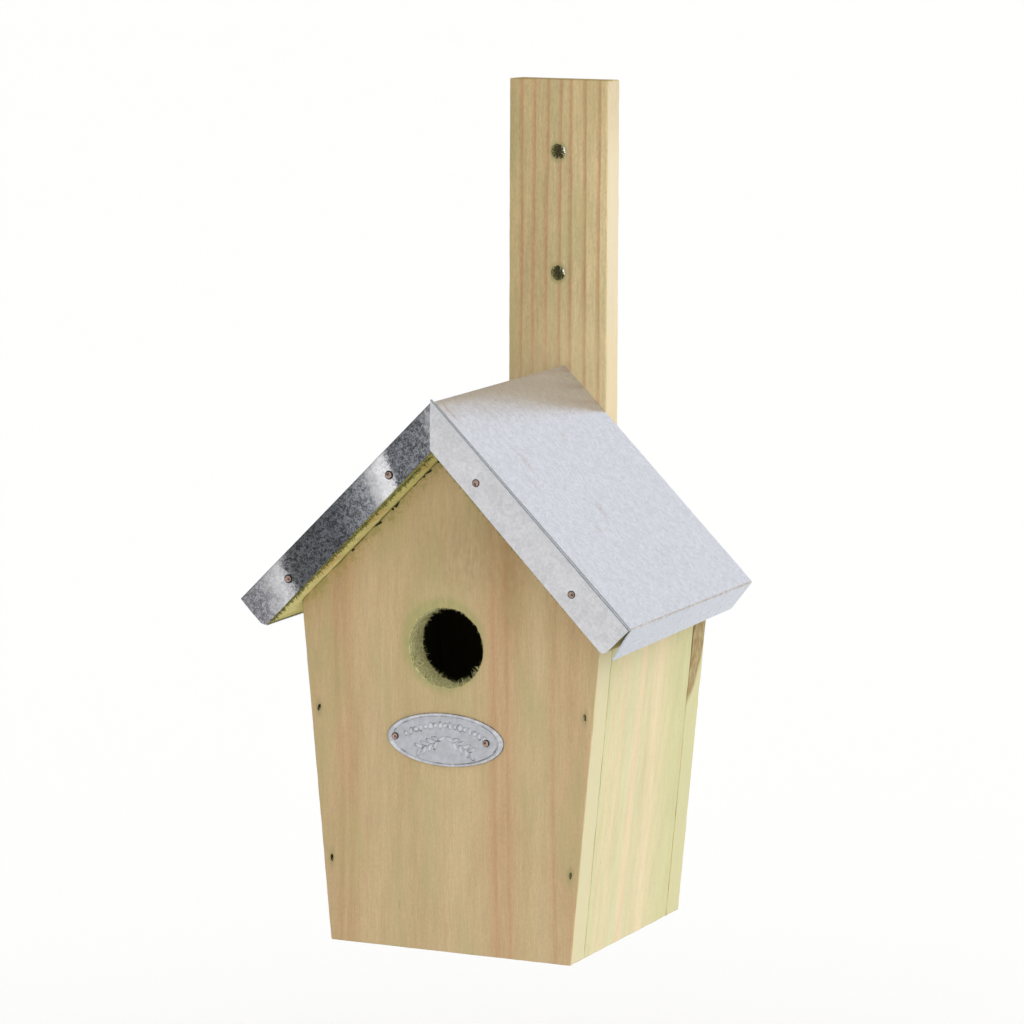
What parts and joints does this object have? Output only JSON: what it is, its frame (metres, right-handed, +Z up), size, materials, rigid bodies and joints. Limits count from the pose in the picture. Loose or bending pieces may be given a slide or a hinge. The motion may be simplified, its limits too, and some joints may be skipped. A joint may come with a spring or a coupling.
{
  "type": "birdhouse",
  "caption": "Wooden nest box with a round entrance, a sheet-metal gable roof, a hanging batten, and a floor that swings down behind a turn button.",
  "frame": {"origin": "on the ground, midway across the roof, and midway between the foremost nail head and the back of the hanging batten", "axes": "+X to the right, -Y out of the entrance hole, +Z up along the batten"},
  "size_m": [0.1692, 0.1386, 0.342],
  "materials": {
    "treated_pine": "sawn, pressure-impregnated, faint green",
    "pale_pine": "planed, lightly impregnated",
    "batten_pine": "planed, impregnated, reddish latewood lines",
    "galvanised_sheet": "hot-dip galvanised, fine spangle",
    "zinc_steel": "zinc plated, dull",
    "coppered_nail": "copper coloured, satin",
    "pewter_plate": "stamped, dull grey"
  },
  "bodies": {
    "box": {"front_board": "treated_pine", "back_board": "treated_pine", "left_side": "pale_pine", "right_side": "pale_pine", "left_roof_board": "treated_pine", "right_roof_board": "treated_pine", "roof_cover": "galvanised_sheet", "hanging_batten": "batten_pine", "batten_screws": "zinc_steel", "front_brads": "zinc_steel", "back_brads": "zinc_steel", "roof_brads": "zinc_steel", "ridge_brads": "zinc_steel", "fascia_nails": "coppered_nail", "name_plaque": "pewter_plate", "plaque_nails": "coppered_nail", "turn_button_screw": "zinc_steel"},
    "floor": {"floor_panel": "treated_pine", "floor_pivot_pins": "zinc_steel"},
    "button": {"turn_button": "zinc_steel"}
  },
  "joints": [
    {"name": "floor_hinge", "type": "hinge", "parent": "box", "child": "floor", "pos_m": [0, -0.02654, 0.0115], "axis": [-1, 0, 0], "range_deg": [0, 90]},
    {"name": "button_turn", "type": "hinge", "parent": "box", "child": "button", "pos_m": [0, 0.0508, 0.0036], "axis": [0, 0, -1], "range_deg": [0, 90]}
  ]
}
